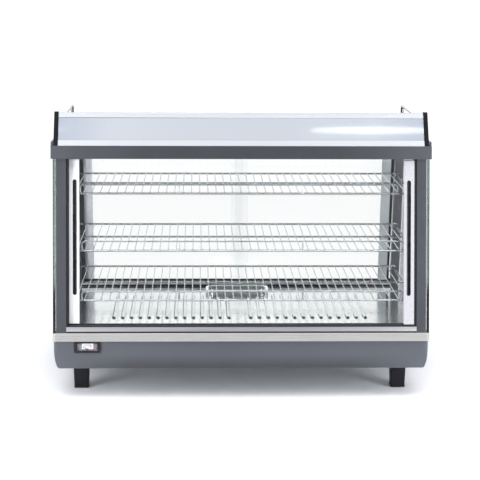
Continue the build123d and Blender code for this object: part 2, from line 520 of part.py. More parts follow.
# ------------------------------------------------------------------ guard rails on the deck
guards = []
for side, sx in (("left", -1), ("right", 1)):
    x = sx * 427.0
    y0, y1, zt = 172.0, 449.0, 661.0
    path = FilletPolyline((x, y0, Z_MARGIN), (x, y0, zt), (x, y1, zt), (x, y1, Z_MARGIN), radius=9)
    r = sweep(Plane(origin=path @ 0, z_dir=path % 0) * Circle(4.0), path=path)
    r += cyl_y(x, y0, y1, 641.0, 2.6)
    for y in (y0, y1):
        r += cyl_z(x, y, Z_MARGIN, Z_MARGIN + 3, 11.0)
    guards.append(r)
put("guard_rails", *guards)

# ------------------------------------------------------------------ wire shelves and their side rails
rails = []
for name, (z, yf, yr) in SHELVES.items():
    ym = (yf + yr) / 2
    g = rod((-X_ROD, yf, z), (X_ROD, yf, z), ROD_R)
    g += rod((-X_ROD, ym, z), (X_ROD, ym, z), ROD_R)
    g += rod((-X_ROD, yr, z), (X_ROD, yr, z), ROD_R)
    zw = z + ROD_R + WIRE_R - 0.6
    xs = [k * WIRE_PITCH + WIRE_SHIFT[name] for k in range(-20, 21)]
    wires = [rod((x, yf - 1.5, zw), (x, yr + 1.5, zw), WIRE_R) for x in xs]
    g = g + wires
    put(f"{name}_shelf_grid", g)
    gx, gw, gh = GUARD[name]
    y = yf - ROD_R - GUARD_R
    pl = Plane(origin=(gx, y, z + gh / 2), x_dir=(1, 0, 0), z_dir=(0, -1, 0))
    loop = (pl * RectangleRounded(2 * gw, gh, 8.0)).face().outer_wire()
    gd = sweep(Plane(origin=loop @ 0, z_dir=loop % 0) * Circle(GUARD_R), path=loop)
    for x in (-148.0, 148.0):
        gd += rod((x, y, z), (x, y, z + gh), GUARD_R)
    put(f"{name}_shelf_guard", gd)
    zr = z - ROD_R - RAIL_R - 0.3
    for sx in (-1, 1):
        ya = yl(zr, N_POST)
        yb = yl(zr, N_POST, True)
        s = cyl_y(sx * X_RAIL, ya + 0.8, yb - 0.8, zr, RAIL_R)
        # a small round foot at each end sits flat on the leaning post
        s += rod((sx * X_RAIL, ya, zr), (sx * X_RAIL, ya + 1.6 * COS, zr - 1.6 * SIN), 4.4)
        s += rod((sx * X_RAIL, yb, zr), (sx * X_RAIL, yb - 1.6 * COS, zr - 1.6 * SIN), 4.4)
        rails.append(s)
put("shelf_support_rails", *rails)

lo = [min(tuple(s.bounding_box().min)[i] for s in written.values()) for i in range(3)]
hi = [max(tuple(s.bounding_box().max)[i] for s in written.values()) for i in range(3)]
print(len(written), "nodes; box", [round(v, 2) for v in lo], [round(v, 2) for v in hi])
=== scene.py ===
import json
import math

import bmesh
import bpy
from mathutils import Matrix, Vector


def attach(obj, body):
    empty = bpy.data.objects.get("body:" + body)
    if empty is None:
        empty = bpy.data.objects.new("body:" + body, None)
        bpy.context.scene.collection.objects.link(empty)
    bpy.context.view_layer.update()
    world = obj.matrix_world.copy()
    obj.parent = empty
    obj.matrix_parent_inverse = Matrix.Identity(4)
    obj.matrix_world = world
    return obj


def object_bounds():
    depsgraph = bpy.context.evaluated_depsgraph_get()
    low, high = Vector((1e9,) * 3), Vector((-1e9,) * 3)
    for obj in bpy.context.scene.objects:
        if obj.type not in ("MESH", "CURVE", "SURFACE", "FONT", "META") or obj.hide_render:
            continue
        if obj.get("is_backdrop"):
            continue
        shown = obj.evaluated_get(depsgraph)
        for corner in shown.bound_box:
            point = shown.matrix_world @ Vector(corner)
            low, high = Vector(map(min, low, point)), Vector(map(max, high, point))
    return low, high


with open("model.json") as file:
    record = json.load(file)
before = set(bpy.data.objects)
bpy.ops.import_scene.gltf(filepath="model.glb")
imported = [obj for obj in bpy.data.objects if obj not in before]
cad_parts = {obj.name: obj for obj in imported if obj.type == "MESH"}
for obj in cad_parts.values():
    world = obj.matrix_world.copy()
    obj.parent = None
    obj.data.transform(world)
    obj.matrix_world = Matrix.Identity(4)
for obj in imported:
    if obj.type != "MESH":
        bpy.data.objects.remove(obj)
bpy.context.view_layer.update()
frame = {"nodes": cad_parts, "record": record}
nodes = frame["nodes"]
scene = bpy.context.scene

# ------------------------------------------------------------------ shared sizes (metres, same frame as the model)
YC = 0.288
SLOPE = math.radians(9.0)
TAN, COS, SIN = math.tan(SLOPE), math.cos(SLOPE), math.sin(SLOPE)


def yl(z, n, rear=False):
    """Y of the line n metres outside the sloping glass plane at height z."""
    y = (z - 0.165) * TAN - n / COS
    return (0.560 - y if rear else y) - YC


# ------------------------------------------------------------------ camera at the photograph's angle
PITCH, YAW, ROLL = math.radians(10.27), math.radians(1.60), math.radians(0.29)
CAM = Vector((-0.108, -3.978, 1.057))
F = Vector((math.sin(YAW) * math.cos(PITCH), math.cos(YAW) * math.cos(PITCH), -math.sin(PITCH)))
R0 = Vector((math.cos(YAW), -math.sin(YAW), 0.0))
U0 = R0.cross(F)
RIGHT = R0 * math.cos(ROLL) + U0 * math.sin(ROLL)
UP = U0 * math.cos(ROLL) - R0 * math.sin(ROLL)
FOCAL = 1602.0
cam_data = bpy.data.cameras.new("photo_camera")
cam = bpy.data.objects.new("photo_camera", cam_data)
scene.collection.objects.link(cam)
cam_data.sensor_width = 36.0
cam_data.lens = FOCAL / 480.0 * 36.0
cam_data.clip_start, cam_data.clip_end = 0.05, 200.0
m = Matrix((RIGHT, UP, -F)).transposed().to_4x4()
m.translation = CAM
cam.matrix_world = m
scene.camera = cam


def pixel_ray(u, v):
    a, b = (u - 240.0) / FOCAL, (v - 240.0) / FOCAL
    return (F + RIGHT * a - UP * b).normalized()


# ------------------------------------------------------------------ node helpers
def tree(name):
    mat = bpy.data.materials.new(name)
    mat.use_nodes = True
    nt = mat.node_tree
    nt.nodes.clear()
    out = nt.nodes.new("ShaderNodeOutputMaterial")
    return mat, nt, out


def coords(nt, scale=(1, 1, 1), rot=(0, 0, 0)):
    tc = nt.nodes.new("ShaderNodeTexCoord")
    mp = nt.nodes.new("ShaderNodeMapping")
    mp.inputs["Scale"].default_value = scale
    mp.inputs["Rotation"].default_value = rot
    nt.links.new(tc.outputs["Object"], mp.inputs["Vector"])
    return mp.outputs[0]


def noise(nt, vec, scale, detail=3.0, rough=0.55, dist=0.0):
    n = nt.nodes.new("ShaderNodeTexNoise")
    n.inputs["Scale"].default_value = scale
    n.inputs["Detail"].default_value = detail
    n.inputs["Roughness"].default_value = rough
    n.inputs["Distortion"].default_value = dist
    nt.links.new(vec, n.inputs["Vector"])
    return n.outputs["Fac"]


def spread(nt, fac, lo, hi, a=0.3, b=0.7):
    """A number from lo to hi as fac goes from a to b."""
    r = nt.nodes.new("ShaderNodeMapRange")
    r.inputs["From Min"].default_value = a
    r.inputs["From Max"].default_value = b
    r.inputs["To Min"].default_value = lo
    r.inputs["To Max"].default_value = hi
    nt.links.new(fac, r.inputs["Value"])
    return r.outputs[0]


def ramp(nt, fac, stops):
    r = nt.nodes.new("ShaderNodeValToRGB")
    e = r.color_ramp.elements
    while len(e) < len(stops):
        e.new(0.5)
    for el, (pos, col) in zip(e, stops):
        el.position = pos
        el.color = (*col, 1.0)
    nt.links.new(fac, r.inputs[0])
    return r.outputs[0]


def mix(nt, fac, a, b, mode="MIX"):
    x = nt.nodes.new("ShaderNodeMix")
    x.data_type = "RGBA"
    x.blend_type = mode
    for sock, val in ((x.inputs[0], fac), (x.inputs[6], a), (x.inputs[7], b)):
        if isinstance(val, (int, float)):
            sock.default_value = val
        elif isinstance(val, (tuple, list)):
            sock.default_value = (*val, 1.0)
        else:
            nt.links.new(val, sock)
    return x.outputs[2]


def math_node(nt, op, a, b=None, c=None, clamp=False):
    n = nt.nodes.new("ShaderNodeMath")
    n.operation = op
    n.use_clamp = clamp
    for i, v in enumerate((a, b, c)):
        if v is None:
            continue
        if isinstance(v, (int, float)):
            n.inputs[i].default_value = v
        else:
            nt.links.new(v, n.inputs[i])
    return n.outputs[0]


def bump(nt, height, strength, dist, normal=None):
    b = nt.nodes.new("ShaderNodeBump")
    b.inputs["Strength"].default_value = strength
    b.inputs["Distance"].default_value = dist
    nt.links.new(height, b.inputs["Height"])
    if normal is not None:
        nt.links.new(normal, b.inputs["Normal"])
    return b.outputs[0]


def edge_mask(nt, radius, lo=0.02, hi=0.25):
    """White along convex and concave edges, from a rounded normal against the true one."""
    bev = nt.nodes.new("ShaderNodeBevel")
    bev.samples = 4
    bev.inputs["Radius"].default_value = radius
    geo = nt.nodes.new("ShaderNodeNewGeometry")
    dot = nt.nodes.new("ShaderNodeVectorMath")
    dot.operation = "DOT_PRODUCT"
    nt.links.new(bev.outputs[0], dot.inputs[0])
    nt.links.new(geo.outputs["Normal"], dot.inputs[1])
    return spread(nt, math_node(nt, "SUBTRACT", 1.0, dot.outputs["Value"]), 0.0, 1.0, lo, hi)


def tone(c, k):
    return tuple(min(1.0, x * k) for x in c)


def finish_of(name, color, metallic=0.0, rough=0.4, spec=0.5, coat=0.0, coat_rough=0.08, aniso=0.0,
              vary=0.06, vary_scale=7.0, speck=0.0, speck_scale=900.0, rough_vary=0.05, rough_scale=30.0,
              streak=0.0, streak_scale=(5.0, 500.0, 500.0), peel=0.0, peel_scale=420.0, peel_dist=0.00015,
              edge_wear_and_highlight=0.0, edge_wear_and_highlight_color=(0.6, 0.6, 0.6), wear_radius=0.0012, dust=0.0, ior=1.5):
    """A one-shader finish: colour drift, specks or brush streaks, roughness drift, surface peel, lighter edges that are
    partly rubbed through and partly a painted highlight, and settled dust.
    """
    mat, nt, out = tree(name)
    p = nt.nodes.new("ShaderNodeBsdfPrincipled")
    nt.links.new(p.outputs[0], out.inputs[0])
    p.inputs["Metallic"].default_value = metallic
    p.inputs["IOR"].default_value = ior
    p.inputs["Specular IOR Level"].default_value = spec
    p.inputs["Coat Weight"].default_value = coat
    p.inputs["Coat Roughness"].default_value = coat_rough
    p.inputs["Anisotropic"].default_value = aniso
    flat = coords(nt)
    col = ramp(nt, noise(nt, flat, vary_scale, 4.0), [(0.3, tone(color, 1 - vary)), (0.7, tone(color, 1 + vary))])
    height = None
    if streak:
        s = noise(nt, coords(nt, streak_scale), 1.0, 5.0, 0.65)
        col = mix(nt, 1.0, col, ramp(nt, s, [(0.25, (1 - streak,) * 3), (0.75, (1.0,) * 3)]), "MULTIPLY")
        height = s
    if speck:
        s = noise(nt, flat, speck_scale, 2.0)
        col = mix(nt, 1.0, col, ramp(nt, s, [(0.35, (1 - speck,) * 3), (0.65, (1.0,) * 3)]), "MULTIPLY")
    rv = noise(nt, coords(nt, streak_scale) if streak else flat, 1.0 if streak else rough_scale, 3.0)
    r = spread(nt, rv, max(0.0, rough - rough_vary), rough + rough_vary)
    # lighter edges, concave ones too: partly rubbed through, partly a painted highlight
    if edge_wear_and_highlight:
        e = math_node(nt, "MULTIPLY", edge_mask(nt, wear_radius), spread(nt, noise(nt, flat, 55.0, 5.0, 0.7), 0.0, edge_wear_and_highlight, 0.42, 0.62))
        col = mix(nt, e, col, edge_wear_and_highlight_color)
    if dust:
        geo = nt.nodes.new("ShaderNodeNewGeometry")
        sep = nt.nodes.new("ShaderNodeSeparateXYZ")
        nt.links.new(geo.outputs["Normal"], sep.inputs[0])
        up = spread(nt, sep.outputs[2], 0.0, 1.0, 0.55, 1.0)
        d = math_node(nt, "MULTIPLY", up, spread(nt, noise(nt, flat, 24.0, 6.0, 0.7), 0.0, dust))
        col = mix(nt, d, col, (0.62, 0.61, 0.6))
        r = math_node(nt, "ADD", r, math_node(nt, "MULTIPLY", d, 0.5), clamp=True)
    nt.links.new(col, p.inputs["Base Color"])
    nt.links.new(r, p.inputs["Roughness"])
    if peel:
        pn = noise(nt, flat, peel_scale, 2.0, 0.5)
        nrm = bump(nt, pn, peel, peel_dist)
        if height is not None:
            nrm = bump(nt, height, peel, peel_dist, nrm)
        nt.links.new(nrm, p.inputs["Normal"])
    elif height is not None:
        nt.links.new(bump(nt, height, 0.25, 0.00006), p.inputs["Normal"])
    return mat


def glass_of(name, tint, edge, face_normal, inner_edge=None):
    """Clear toughened glass. The cut edges, which face away from the pane's own normal, are deep green;
    inner_edge is a paler colour, painted light tuned to the photo, for the half of a side pane's edge towards the
    middle."""
    mat, nt, out = tree(name)
    p = nt.nodes.new("ShaderNodeBsdfPrincipled")
    p.inputs["Transmission Weight"].default_value = 1.0
    p.inputs["IOR"].default_value = 1.42
    geo = nt.nodes.new("ShaderNodeNewGeometry")
    dot = nt.nodes.new("ShaderNodeVectorMath")
    dot.operation = "DOT_PRODUCT"
    dot.inputs[1].default_value = face_normal
    nt.links.new(geo.outputs["True Normal"], dot.inputs[0])
    face = spread(nt, math_node(nt, "ABSOLUTE", dot.outputs["Value"]), 0.0, 1.0, 0.85, 0.97)
    flat = coords(nt)
    pane = ramp(nt, noise(nt, flat, 3.0, 3.0), [(0.35, tone(tint, 0.99)), (0.65, tint)])
    cut = ramp(nt, noise(nt, coords(nt, (60.0, 60.0, 9.0)), 1.0, 4.0), [(0.3, tone(edge, 0.75)), (0.7, tone(edge, 1.25))])
    # painted light: the half of the side pane's cut edge towards the middle gets the paler colour
    if inner_edge:
        tc = nt.nodes.new("ShaderNodeTexCoord")
        sep = nt.nodes.new("ShaderNodeSeparateXYZ")
        nt.links.new(tc.outputs["Object"], sep.inputs[0])
        half = spread(nt, math_node(nt, "ABSOLUTE", sep.outputs[0]), 0.0, 1.0, 0.4418, 0.4428)
        cut = mix(nt, half, inner_edge, cut)
    nt.links.new(mix(nt, face, cut, pane), p.inputs["Base Color"])
    smear = spread(nt, noise(nt, coords(nt, (6.0, 6.0, 14.0)), 1.0, 5.0, 0.6, 0.6), 0.0, 0.018, 0.5, 0.75)
    cut_r = math_node(nt, "MULTIPLY", math_node(nt, "SUBTRACT", 1.0, face), 0.22)
    nt.links.new(math_node(nt, "ADD", smear, cut_r), p.inputs["Roughness"])
    clear = nt.nodes.new("ShaderNodeBsdfTransparent")
    clear.inputs[0].default_value = (*tint, 1.0)
    path = nt.nodes.new("ShaderNodeLightPath")
    mx = nt.nodes.new("ShaderNodeMixShader")
    nt.links.new(path.outputs["Is Shadow Ray"], mx.inputs[0])
    nt.links.new(p.outputs[0], mx.inputs[1])
    nt.links.new(clear.outputs[0], mx.inputs[2])
    nt.links.new(mx.outputs[0], out.inputs[0])
    return mat


# ------------------------------------------------------------------ finishes
MATS = {
    "grey_paint": finish_of("grey_paint", (0.078, 0.084, 0.102), rough=0.40, spec=0.5, vary=0.05, vary_scale=5.0, speck=0.10,
                            speck_scale=1400.0, rough_vary=0.05, peel=0.10, peel_scale=700.0, edge_wear_and_highlight=0.5, edge_wear_and_highlight_color=(0.34, 0.35, 0.38), dust=0.10),
    "galvanised_sheet": finish_of("galvanised_sheet", (0.52, 0.54, 0.55), metallic=1.0, rough=0.42, vary=0.16, vary_scale=60.0,
                                  rough_vary=0.10, rough_scale=70.0, peel=0.05),
    "bright_trim": finish_of("bright_trim", (0.60, 0.595, 0.58), metallic=1.0, rough=0.30, vary=0.03, streak=0.10,
                             streak_scale=(4.0, 900.0, 900.0), rough_vary=0.07, edge_wear_and_highlight=0.15, edge_wear_and_highlight_color=(0.66, 0.65, 0.64)),
    "polished_steel": finish_of("polished_steel", (0.76, 0.79, 0.785), metallic=1.0, rough=0.14, vary=0.025, streak=0.05,
                                streak_scale=(3.0, 420.0, 420.0), rough_vary=0.03, peel=0.012, peel_scale=14.0, peel_dist=0.0006),
    "element_sheath": finish_of("element_sheath", (0.24, 0.20, 0.17), metallic=0.9, rough=0.5, vary=0.4, vary_scale=26.0, rough_vary=0.12, peel=0.2),
    "white_ceramic": finish_of("white_ceramic", (0.84, 0.82, 0.78), rough=0.55, vary=0.03, speck=0.06, peel=0.2),
    "black_plastic": finish_of("black_plastic", (0.009, 0.009, 0.013), rough=0.55, spec=0.25, vary=0.12, speck=0.15, speck_scale=1600.0,
                               rough_vary=0.06, peel=0.22, peel_scale=900.0, edge_wear_and_highlight=0.3, edge_wear_and_highlight_color=(0.10, 0.10, 0.11), dust=0.04),
    "black_gloss": finish_of("black_gloss", (0.012, 0.012, 0.015), rough=0.26, spec=0.35, vary=0.10, rough_vary=0.05, peel=0.05, peel_scale=300.0,
                             edge_wear_and_highlight=0.25, edge_wear_and_highlight_color=(0.09, 0.09, 0.10)),
    "black_rubber": finish_of("black_rubber", (0.010, 0.010, 0.011), rough=0.65, spec=0.3, vary=0.15, speck=0.2, rough_vary=0.08, peel=0.25, peel_scale=1100.0),
    "dial_white": finish_of("dial_white", (0.15, 0.15, 0.17), rough=0.35, vary=0.03, speck=0.03, rough_vary=0.04),
    "pointer_red": finish_of("pointer_red", (0.085, 0.018, 0.020), rough=0.38, vary=0.05, rough_vary=0.05, peel=0.04),
    "zinc_screws": finish_of("zinc_screws", (0.60, 0.60, 0.57), metallic=1.0, rough=0.30, vary=0.08, vary_scale=180.0, rough_vary=0.08, edge_wear_and_highlight=0.4, edge_wear_and_highlight_color=(0.8, 0.8, 0.78)),
    "lamp_white": finish_of("lamp_white", (0.86, 0.86, 0.83), rough=0.28, vary=0.02, speck=0.02, rough_vary=0.05),
    "opal_panel": finish_of("opal_panel", (0.260, 0.287, 0.328), rough=0.040, spec=0.55, vary=0.02, vary_scale=3.0, rough_vary=0.01, rough_scale=8.0),
    # dark colour for the painted shade and reflection along the louvres
    "painted_louvre_shade": finish_of("painted_louvre_shade", (0.085, 0.095, 0.115), metallic=0.0, rough=0.42, spec=0.2, vary=0.20, vary_scale=30.0, rough_vary=0.08),
    "seam_and_shade_grey": finish_of("seam_and_shade_grey", (0.10, 0.11, 0.13), rough=0.4, vary=0.05, speck=0.04),
    # the guard rails' chrome, darkened as painted shade
    "chrome_painted_shade": finish_of("chrome_painted_shade", (0.175, 0.185, 0.20), metallic=1.0, rough=0.20, vary=0.06, vary_scale=60.0, rough_vary=0.05, peel=0.02, peel_scale=260.0),
    "white_profile": finish_of("white_profile", (0.385, 0.40, 0.43), rough=0.24, vary=0.02, vary_scale=4.0, speck=0.02, rough_vary=0.04, peel=0.03, dust=0.03),
    "dark_end": finish_of("dark_end", (0.006, 0.006, 0.008), rough=0.60, spec=0.12, vary=0.12, speck=0.08, rough_vary=0.06, peel=0.08, edge_wear_and_highlight=0.5, edge_wear_and_highlight_color=(0.20, 0.20, 0.21)),
    "chrome": finish_of("chrome", (0.44, 0.46, 0.475), metallic=1.0, rough=0.13, vary=0.05, vary_scale=40.0, rough_vary=0.05, rough_scale=120.0, peel=0.02, peel_scale=260.0),
    "track_aluminium": finish_of("track_aluminium", (0.62, 0.62, 0.645), metallic=1.0, rough=0.42, vary=0.03, streak=0.08,
                                 streak_scale=(3.0, 800.0, 800.0), rough_vary=0.06, edge_wear_and_highlight=0.3, edge_wear_and_highlight_color=(0.86, 0.86, 0.88)),
    # the front left stile: the same metal as the others, brighter as painted light only so that it reads as in the
    # photo
    "white_aluminium_painted_light": finish_of("white_aluminium_painted_light", (0.89, 0.89, 0.935), metallic=0.0, rough=0.30, vary=0.02, streak=0.035,
                                      streak_scale=(900.0, 900.0, 4.0), rough_vary=0.05, edge_wear_and_highlight=0.35, edge_wear_and_highlight_color=(0.96, 0.96, 0.98)),
    "liner_black": finish_of("liner_black", (0.016, 0.017, 0.021), rough=0.55, spec=0.3, vary=0.12, speck=0.12, rough_vary=0.06, peel=0.12, peel_scale=900.0),
    # the rear right stile: the same metal as the others, duller as painted shade only so that it reads as in the photo
    "white_aluminium_painted_shade": finish_of("white_aluminium_painted_shade", (0.345, 0.365, 0.38), metallic=0.25, rough=0.32, vary=0.03, streak=0.05,
                                      streak_scale=(900.0, 900.0, 4.0), rough_vary=0.05, edge_wear_and_highlight=0.2, edge_wear_and_highlight_color=(0.60, 0.61, 0.62)),
    "white_aluminium": finish_of("white_aluminium", (0.54, 0.54, 0.58), metallic=0.25, rough=0.30, vary=0.02, streak=0.035,
                                 streak_scale=(900.0, 900.0, 4.0), rough_vary=0.05, edge_wear_and_highlight=0.35, edge_wear_and_highlight_color=(0.93, 0.93, 0.95)),
    "print_white": finish_of("print_white", (0.80, 0.81, 0.82), rough=0.5, vary=0.03, speck=0.05),
    "print_black": finish_of("print_black", (0.03, 0.03, 0.03), rough=0.5, vary=0.05, speck=0.05),
    "print_red": finish_of("print_red", (0.36, 0.11, 0.12), rough=0.5, vary=0.05, speck=0.05),
}
def shade_by_side(mat, stops):
    """Multiply a finish's colour by a ramp over the distance from the middle (0.45 m is position 1)."""
    nt = mat.node_tree
    p = next(n for n in nt.nodes if n.type == "BSDF_PRINCIPLED")
    src = p.inputs["Base Color"].links[0].from_socket
    tc = nt.nodes.new("ShaderNodeTexCoord")
    sep = nt.nodes.new("ShaderNodeSeparateXYZ")
    nt.links.new(tc.outputs["Object"], sep.inputs[0])
    off = spread(nt, math_node(nt, "ABSOLUTE", sep.outputs[0]), 0.0, 1.0, 0.0, 0.45)
    nt.links.new(mix(nt, 1.0, src, ramp(nt, off, stops), "MULTIPLY"), p.inputs["Base Color"])


def shade_paint(mat):
    """Painted shade and light, tuned to the photo. It is one paint, but painted shade multiplies it down above the trim
    band and low on the middle of the base, and painted light multiplies it up towards the ends of the top frame."""
    nt = mat.node_tree
    p = next(n for n in nt.nodes if n.type == "BSDF_PRINCIPLED")
    src = p.inputs["Base Color"].links[0].from_socket
    tc = nt.nodes.new("ShaderNodeTexCoord")
    sep = nt.nodes.new("ShaderNodeSeparateXYZ")
    nt.links.new(tc.outputs["Object"], sep.inputs[0])
    off, z = math_node(nt, "ABSOLUTE", sep.outputs[0]), sep.outputs[2]
    frame_part = spread(nt, z, 1.0, 0.575, 0.150, 0.170)
    top_part = spread(nt, z, 0.0, 1.0, 0.565, 0.575)
    top_gain = math_node(nt, "MULTIPLY_ADD", math_node(nt, "SUBTRACT", spread(nt, off, 0.95, 1.35, 0.22, 0.44), 1.0), top_part, 1.0)
    low_part = spread(nt, z, 1.0, 0.0, 0.084, 0.112)
    low_gain = math_node(nt, "MULTIPLY_ADD", math_node(nt, "SUBTRACT", spread(nt, off, 0.48, 1.12, 0.26, 0.44), 1.0), low_part, 1.0)
    gain = math_node(nt, "MULTIPLY", math_node(nt, "MULTIPLY", frame_part, top_gain), low_gain)
    nt.links.new(mix(nt, 1.0, src, gain, "MULTIPLY"), p.inputs["Base Color"])


def shade_upward(mat, gain):
    """Multiply the colour of the faces of a finish that look up by gain: painted shade below 1, painted light above 1.
    """
    nt = mat.node_tree
    p = next(n for n in nt.nodes if n.type == "BSDF_PRINCIPLED")
    src = p.inputs["Base Color"].links[0].from_socket
    geo = nt.nodes.new("ShaderNodeNewGeometry")
    sep = nt.nodes.new("ShaderNodeSeparateXYZ")
    nt.links.new(geo.outputs["True Normal"], sep.inputs[0])
    nt.links.new(mix(nt, 1.0, src, spread(nt, sep.outputs[2], 1.0, gain, 0.35, 0.60), "MULTIPLY"), p.inputs["Base Color"])


def shade_along(mat, axis, lo, hi, a, b):
    """Multiply a finish's colour by a number that runs from lo at coordinate a to hi at b."""
    nt = mat.node_tree
    p = next(n for n in nt.nodes if n.type == "BSDF_PRINCIPLED")
    src = p.inputs["Base Color"].links[0].from_socket
    tc = nt.nodes.new("ShaderNodeTexCoord")
    sep = nt.nodes.new("ShaderNodeSeparateXYZ")
    nt.links.new(tc.outputs["Object"], sep.inputs[0])
    nt.links.new(mix(nt, 1.0, src, spread(nt, sep.outputs[axis], lo, hi, a, b), "MULTIPLY"), p.inputs["Base Color"])


# Each of these multiplies a base colour by position or facing, tuned to the photo. None stands for a known difference
# in the real finish;
# all are painted light and shade: the seam line's painted shade fades to the right, shade_paint paints shade and light
# as its docstring says, the trim's upward faces get painted shade, the white profile's upward faces get painted light,
# and the canopy panel gets painted shade towards its ends.
shade_along(MATS["seam_and_shade_grey"], 0, 0.9, 4.0, -0.43, -0.02)
shade_paint(MATS["grey_paint"])
shade_upward(MATS["bright_trim"], 0.30)
shade_upward(MATS["white_profile"], 1.18)
shade_by_side(MATS["opal_panel"], [(0.0, (1.0, 1.0, 1.0)), (0.70, (1.0, 1.0, 1.0)), (0.96, (0.71, 0.74, 0.82))])

PANE = (0.988, 0.994, 0.994)
CUT = (0.16, 0.26, 0.22)
glass_side = glass_of("clear_glass_side", PANE, (0.075, 0.14, 0.105), (1.0, 0.0, 0.0), (0.42, 0.52, 0.49))
glass_front = glass_of("clear_glass_front", PANE, CUT, (0.0, -COS, SIN))
glass_rear = glass_of("clear_glass_rear", PANE, CUT, (0.0, COS, SIN))
glass_window = glass_of("clear_window", (0.96, 0.97, 0.98), (0.5, 0.52, 0.55), (0.0, -1.0, 0.0))

slot_of = {s["node"]: s["material_slot"] for s in frame["record"]["subparts"]}
for name, ob in nodes.items():
    key = slot_of[name]
    if name.startswith("side_glass"):
        mat = glass_side
    elif name.startswith("front_") and name.endswith("door_glass"):
        mat = glass_front
    elif name.startswith("rear_") and name.endswith("door_glass"):
        mat = glass_rear
    elif name == "thermometer_window":
        mat = glass_window
    elif name.startswith("guard_rail"):
        mat = MATS["chrome_painted_shade"]
    elif name == "front_left_door_stile":
        mat = MATS["white_aluminium_painted_light"]
    elif name == "rear_right_door_stile":
        mat = MATS["white_aluminium_painted_shade"]
    elif name == "track_liners":
        mat = MATS["liner_black"]
    else:
        mat = MATS[key]
    if not ob.data.materials:
        ob.data.materials.append(mat)
    for i in range(len(ob.material_slots)):
        ob.material_slots[i].material = mat


# ------------------------------------------------------------------ mesh helpers
def piece(name, verts, faces, mat, body, smooth=False, mats=None, index=None):
    me = bpy.data.meshes.new(name)
    me.from_pydata([tuple(v) for v in verts], [], faces)
    bm = bmesh.new()
    bm.from_mesh(me)
    bmesh.ops.recalc_face_normals(bm, faces=bm.faces)
    bm.to_mesh(me)
    bm.free()
    ob = bpy.data.objects.new(name, me)
    scene.collection.objects.link(ob)
    for mm in mats or [mat]:
        me.materials.append(mm)
    if index:
        for poly, i in zip(me.polygons, index):
            poly.material_index = i
    if smooth:
        for poly in me.polygons:
            poly.use_smooth = True
        me.set_sharp_from_angle(angle=math.radians(38))
    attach(ob, body)
    return ob


class Build:
    """Collects closed shells into one mesh, with a material number for each."""

    def __init__(self):
        self.v, self.f, self.i = [], [], []

    def add(self, verts, faces, index=0):
        n = len(self.v)
        self.v += [Vector(p) for p in verts]
        self.f += [[n + k for k in f] for f in faces]
        self.i += [index] * len(faces)

    def rings(self, rings, index=0, cap0=True, cap1=True):
        """Loops of equal length joined in order, closed at both ends."""
        k = len(rings[0])
        verts = [p for r in rings for p in r]
        faces = []
        for a in range(len(rings) - 1):
            for j in range(k):
                faces.append([a * k + j, a * k + (j + 1) % k, (a + 1) * k + (j + 1) % k, (a + 1) * k + j])
        if cap0:
            faces.append(list(range(k))[::-1])
        if cap1:
            faces.append([(len(rings) - 1) * k + j for j in range(k)])
        self.add(verts, faces, index)

    def lathe(self, centre, axis, profile, seg=28, index=0):
        """profile is (radius, distance along axis) pairs from one end to the other."""
        axis = Vector(axis).normalized()
        a = axis.orthogonal().normalized()
        b = axis.cross(a)
        c = Vector(centre)
        rings = [[c + axis * h + (a * math.cos(t) + b * math.sin(t)) * r for t in (2 * math.pi * j / seg for j in range(seg))] for r, h in profile]
        self.rings(rings, index)

    def screw(self, centre, axis, r=0.0034, h=0.0018, index=0):
        """Domed button head with a hexagonal socket."""
        axis = Vector(axis).normalized()
        a = axis.orthogonal().normalized()
        b = axis.cross(a)
        c = Vector(centre)
        seg = 24

        def circle(rad, z):
            return [c + axis * z + (a * math.cos(t) + b * math.sin(t)) * rad for t in (2 * math.pi * j / seg for j in range(seg))]

        def hexagon(rad, z):
            pts = []
            for j in range(seg):
                t = 2 * math.pi * j / seg
                k = math.cos(math.pi / 6) / math.cos((t % (math.pi / 3)) - math.pi / 6)
                pts.append(c + axis * z + (a * math.cos(t) + b * math.sin(t)) * rad * k)
            return pts

        self.rings([circle(r * 0.98, -0.0003), circle(r, 0.0002), circle(r * 0.93, h * 0.55), circle(r * 0.72, h * 0.88), circle(r * 0.55, h),
                    hexagon(r * 0.47, h), hexagon(r * 0.45, h * 0.25)], index)

    def block(self, lo, hi, index=0, bevel=0.0):
        lo, hi = Vector(lo), Vector(hi)
        bm = bmesh.new()
        bmesh.ops.create_cube(bm, size=1.0)
        for v in bm.verts:
            v.co = Vector(lo[i] + (v.co[i] + 0.5) * (hi[i] - lo[i]) for i in range(3))
        if bevel:
            bmesh.ops.bevel(bm, geom=list(bm.edges), offset=bevel, segments=2, affect="EDGES", profile=0.5)
        bm.verts.ensure_lookup_table()
        bm.verts.index_update()
        self.add([v.co.copy() for v in bm.verts], [[v.index for v in f.verts] for f in bm.faces], index)
        bm.free()

    def tube(self, path, r, seg=14, closed=False, index=0):
        pts = [Vector(p) for p in path]
        n = len(pts)
        rings = []
        ref = None
        for i in range(n):
            if closed:
                t = (pts[(i + 1) % n] - pts[i - 1]).normalized()
            else:
                t = (pts[min(i + 1, n - 1)] - pts[max(i - 1, 0)]).normalized()
            ref = (t.orthogonal() if ref is None else ref - t * ref.dot(t)).normalized()
            b = t.cross(ref)
            rings.append([pts[i] + (ref * math.cos(a) + b * math.sin(a)) * r for a in (2 * math.pi * j / seg for j in range(seg))])
        if closed:
            rings.append([p.copy() for p in rings[0]])
            self.rings(rings, index, cap0=False, cap1=False)
        else:
            self.rings(rings, index)

    def make(self, name, mats, body, smooth=True, weld=False):
        ob = piece(name, self.v, self.f, None, body, smooth=smooth, mats=mats, index=self.i)
        if weld:
            bm = bmesh.new()
            bm.from_mesh(ob.data)
            bmesh.ops.remove_doubles(bm, verts=bm.verts, dist=1e-7)
            bm.to_mesh(ob.data)
            bm.free()
        return ob


